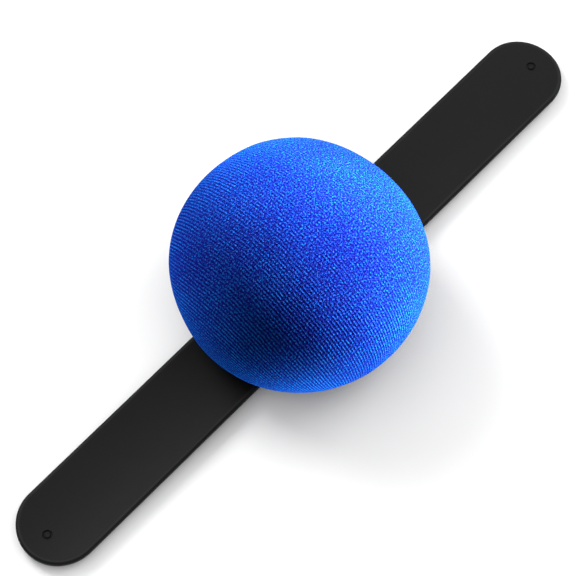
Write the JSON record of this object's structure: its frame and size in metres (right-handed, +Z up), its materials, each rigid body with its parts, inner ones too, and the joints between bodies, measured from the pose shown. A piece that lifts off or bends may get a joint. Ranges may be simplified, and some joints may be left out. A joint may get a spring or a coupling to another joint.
{
  "type": "wrist pin cushion",
  "caption": "Domed velvet pin cushion on a black silicone snap band, with a hard needle guard and a bracket that holds the band under the cushion.",
  "frame": {"origin": "on the flat underside of the strap bridge, under the middle of the cushion and of the straight band", "axes": "+X along the straight band towards the inner arm's tip, +Y across the band, +Z up through the cushion's crown"},
  "size_m": [0.222, 0.0742, 0.0541],
  "materials": {
    "velvet": "royal blue stretch velvet with a short pile and fine ribs",
    "filling": "firm fibre filling",
    "guard_plastic": "plain moulded polypropylene",
    "base_plastic": "fine textured black moulded plastic",
    "thread": "twisted polyester thread",
    "screw_steel": "plain zinc-plated steel",
    "silicone": "matte black silicone rubber",
    "strip_steel": "rolled spring steel"
  },
  "bodies": {
    "cushion": {"velvet_cover": "velvet", "stuffing": "filling", "needle_guard": "guard_plastic", "gather_thread": "thread", "base_plate": "base_plastic", "strap_bridge": "base_plastic", "bridge_screws": "screw_steel", "sleeve_centre": "silicone", "strip_centre": "strip_steel"},
    "inner_link_01": {"inner_sleeve_01": "silicone", "inner_strip_01": "strip_steel"},
    "inner_link_02": {"inner_sleeve_02": "silicone", "inner_strip_02": "strip_steel"},
    "inner_link_03": {"inner_sleeve_03": "silicone", "inner_strip_03": "strip_steel"},
    "inner_link_04": {"inner_sleeve_04": "silicone", "inner_strip_04": "strip_steel"},
    "inner_link_05": {"inner_sleeve_05": "silicone", "inner_strip_05": "strip_steel"},
    "inner_link_06": {"inner_sleeve_06": "silicone", "inner_strip_06": "strip_steel"},
    "inner_link_07": {"inner_sleeve_07": "silicone", "inner_strip_07": "strip_steel"},
    "inner_link_08": {"inner_sleeve_08": "silicone", "inner_strip_08": "strip_steel"},
    "inner_link_09": {"inner_sleeve_09": "silicone", "inner_strip_09": "strip_steel"},
    "inner_link_10": {"inner_sleeve_10": "silicone", "inner_strip_10": "strip_steel"},
    "inner_link_11": {"inner_sleeve_11": "silicone", "inner_strip_11": "strip_steel"},
    "inner_link_12": {"inner_sleeve_12": "silicone", "inner_strip_12": "strip_steel"},
    "outer_link_01": {"outer_sleeve_01": "silicone", "outer_strip_01": "strip_steel"},
    "outer_link_02": {"outer_sleeve_02": "silicone", "outer_strip_02": "strip_steel"},
    "outer_link_03": {"outer_sleeve_03": "silicone", "outer_strip_03": "strip_steel"},
    "outer_link_04": {"outer_sleeve_04": "silicone", "outer_strip_04": "strip_steel"},
    "outer_link_05": {"outer_sleeve_05": "silicone", "outer_strip_05": "strip_steel"},
    "outer_link_06": {"outer_sleeve_06": "silicone", "outer_strip_06": "strip_steel"},
    "outer_link_07": {"outer_sleeve_07": "silicone", "outer_strip_07": "strip_steel"},
    "outer_link_08": {"outer_sleeve_08": "silicone", "outer_strip_08": "strip_steel"},
    "outer_link_09": {"outer_sleeve_09": "silicone", "outer_strip_09": "strip_steel"},
    "outer_link_10": {"outer_sleeve_10": "silicone", "outer_strip_10": "strip_steel"},
    "outer_link_11": {"outer_sleeve_11": "silicone", "outer_strip_11": "strip_steel"},
    "outer_link_12": {"outer_sleeve_12": "silicone", "outer_strip_12": "strip_steel"}
  },
  "joints": [
    {"name": "inner_curl", "type": "hinge", "parent": "cushion", "child": "inner_link_01", "pos_m": [0.01, 0, 0.0025], "axis": [0, 1, 0], "range_deg": [0, 17.5]},
    {"name": "inner_bend_02", "type": "hinge", "parent": "inner_link_01", "child": "inner_link_02", "pos_m": [0.01782, 0, 0.0025], "axis": [0, 1, 0], "range_deg": [0, 18.7]},
    {"name": "inner_bend_03", "type": "hinge", "parent": "inner_link_02", "child": "inner_link_03", "pos_m": [0.02564, 0, 0.0025], "axis": [0, 1, 0], "range_deg": [0, 19.7]},
    {"name": "inner_bend_04", "type": "hinge", "parent": "inner_link_03", "child": "inner_link_04", "pos_m": [0.03345, 0, 0.0025], "axis": [0, 1, 0], "range_deg": [0, 20.7]},
    {"name": "inner_bend_05", "type": "hinge", "parent": "inner_link_04", "child": "inner_link_05", "pos_m": [0.04127, 0, 0.0025], "axis": [0, 1, 0], "range_deg": [0, 21.2]},
    {"name": "inner_bend_06", "type": "hinge", "parent": "inner_link_05", "child": "inner_link_06", "pos_m": [0.04909, 0, 0.0025], "axis": [0, 1, 0], "range_deg": [0, 20.7]},
    {"name": "inner_bend_07", "type": "hinge", "parent": "inner_link_06", "child": "inner_link_07", "pos_m": [0.05691, 0, 0.0025], "axis": [0, 1, 0], "range_deg": [0, 20.2]},
    {"name": "inner_bend_08", "type": "hinge", "parent": "inner_link_07", "child": "inner_link_08", "pos_m": [0.06473, 0, 0.0025], "axis": [0, 1, 0], "range_deg": [0, 18.7]},
    {"name": "inner_bend_09", "type": "hinge", "parent": "inner_link_08", "child": "inner_link_09", "pos_m": [0.07255, 0, 0.0025], "axis": [0, 1, 0], "range_deg": [0, 17.2]},
    {"name": "inner_bend_10", "type": "hinge", "parent": "inner_link_09", "child": "inner_link_10", "pos_m": [0.08036, 0, 0.0025], "axis": [0, 1, 0], "range_deg": [0, 12.2]},
    {"name": "inner_bend_11", "type": "hinge", "parent": "inner_link_10", "child": "inner_link_11", "pos_m": [0.08818, 0, 0.0025], "axis": [0, 1, 0], "range_deg": [0, 9.7]},
    {"name": "inner_bend_12", "type": "hinge", "parent": "inner_link_11", "child": "inner_link_12", "pos_m": [0.096, 0, 0.0025], "axis": [0, 1, 0], "range_deg": [0, 8.7]},
    {"name": "outer_curl", "type": "hinge", "parent": "cushion", "child": "outer_link_01", "pos_m": [-0.01, 0, 0.0025], "axis": [0, -1, 0], "range_deg": [0, 18]},
    {"name": "outer_bend_02", "type": "hinge", "parent": "outer_link_01", "child": "outer_link_02", "pos_m": [-0.01782, 0, 0.0025], "axis": [0, -1, 0], "range_deg": [0, 18.2]},
    {"name": "outer_bend_03", "type": "hinge", "parent": "outer_link_02", "child": "outer_link_03", "pos_m": [-0.02564, 0, 0.0025], "axis": [0, -1, 0], "range_deg": [0, 18.2]},
    {"name": "outer_bend_04", "type": "hinge", "parent": "outer_link_03", "child": "outer_link_04", "pos_m": [-0.03345, 0, 0.0025], "axis": [0, -1, 0], "range_deg": [0, 18.2]},
    {"name": "outer_bend_05", "type": "hinge", "parent": "outer_link_04", "child": "outer_link_05", "pos_m": [-0.04127, 0, 0.0025], "axis": [0, -1, 0], "range_deg": [0, 17.7]},
    {"name": "outer_bend_06", "type": "hinge", "parent": "outer_link_05", "child": "outer_link_06", "pos_m": [-0.04909, 0, 0.0025], "axis": [0, -1, 0], "range_deg": [0, 17.7]},
    {"name": "outer_bend_07", "type": "hinge", "parent": "outer_link_06", "child": "outer_link_07", "pos_m": [-0.05691, 0, 0.0025], "axis": [0, -1, 0], "range_deg": [0, 17.2]},
    {"name": "outer_bend_08", "type": "hinge", "parent": "outer_link_07", "child": "outer_link_08", "pos_m": [-0.06473, 0, 0.0025], "axis": [0, -1, 0], "range_deg": [0, 16.7]},
    {"name": "outer_bend_09", "type": "hinge", "parent": "outer_link_08", "child": "outer_link_09", "pos_m": [-0.07255, 0, 0.0025], "axis": [0, -1, 0], "range_deg": [0, 16.7]},
    {"name": "outer_bend_10", "type": "hinge", "parent": "outer_link_09", "child": "outer_link_10", "pos_m": [-0.08036, 0, 0.0025], "axis": [0, -1, 0], "range_deg": [0, 15.7]},
    {"name": "outer_bend_11", "type": "hinge", "parent": "outer_link_10", "child": "outer_link_11", "pos_m": [-0.08818, 0, 0.0025], "axis": [0, -1, 0], "range_deg": [0, 15.2]},
    {"name": "outer_bend_12", "type": "hinge", "parent": "outer_link_11", "child": "outer_link_12", "pos_m": [-0.096, 0, 0.0025], "axis": [0, -1, 0], "range_deg": [0, 15.2]}
  ],
  "couplings": [
    {"joint": "inner_bend_02", "follows": "inner_curl", "ratio": 1.0571},
    {"joint": "inner_bend_03", "follows": "inner_curl", "ratio": 1.1143},
    {"joint": "inner_bend_04", "follows": "inner_curl", "ratio": 1.1714},
    {"joint": "inner_bend_05", "follows": "inner_curl", "ratio": 1.2},
    {"joint": "inner_bend_06", "follows": "inner_curl", "ratio": 1.1714},
    {"joint": "inner_bend_07", "follows": "inner_curl", "ratio": 1.1429},
    {"joint": "inner_bend_08", "follows": "inner_curl", "ratio": 1.0571},
    {"joint": "inner_bend_09", "follows": "inner_curl", "ratio": 0.97143},
    {"joint": "inner_bend_10", "follows": "inner_curl", "ratio": 0.68571},
    {"joint": "inner_bend_11", "follows": "inner_curl", "ratio": 0.54286},
    {"joint": "inner_bend_12", "follows": "inner_curl", "ratio": 0.48571},
    {"joint": "outer_bend_02", "follows": "outer_curl", "ratio": 1},
    {"joint": "outer_bend_03", "follows": "outer_curl", "ratio": 1},
    {"joint": "outer_bend_04", "follows": "outer_curl", "ratio": 1},
    {"joint": "outer_bend_05", "follows": "outer_curl", "ratio": 0.97222},
    {"joint": "outer_bend_06", "follows": "outer_curl", "ratio": 0.97222},
    {"joint": "outer_bend_07", "follows": "outer_curl", "ratio": 0.94444},
    {"joint": "outer_bend_08", "follows": "outer_curl", "ratio": 0.91667},
    {"joint": "outer_bend_09", "follows": "outer_curl", "ratio": 0.91667},
    {"joint": "outer_bend_10", "follows": "outer_curl", "ratio": 0.86111},
    {"joint": "outer_bend_11", "follows": "outer_curl", "ratio": 0.83333},
    {"joint": "outer_bend_12", "follows": "outer_curl", "ratio": 0.83333}
  ]
}
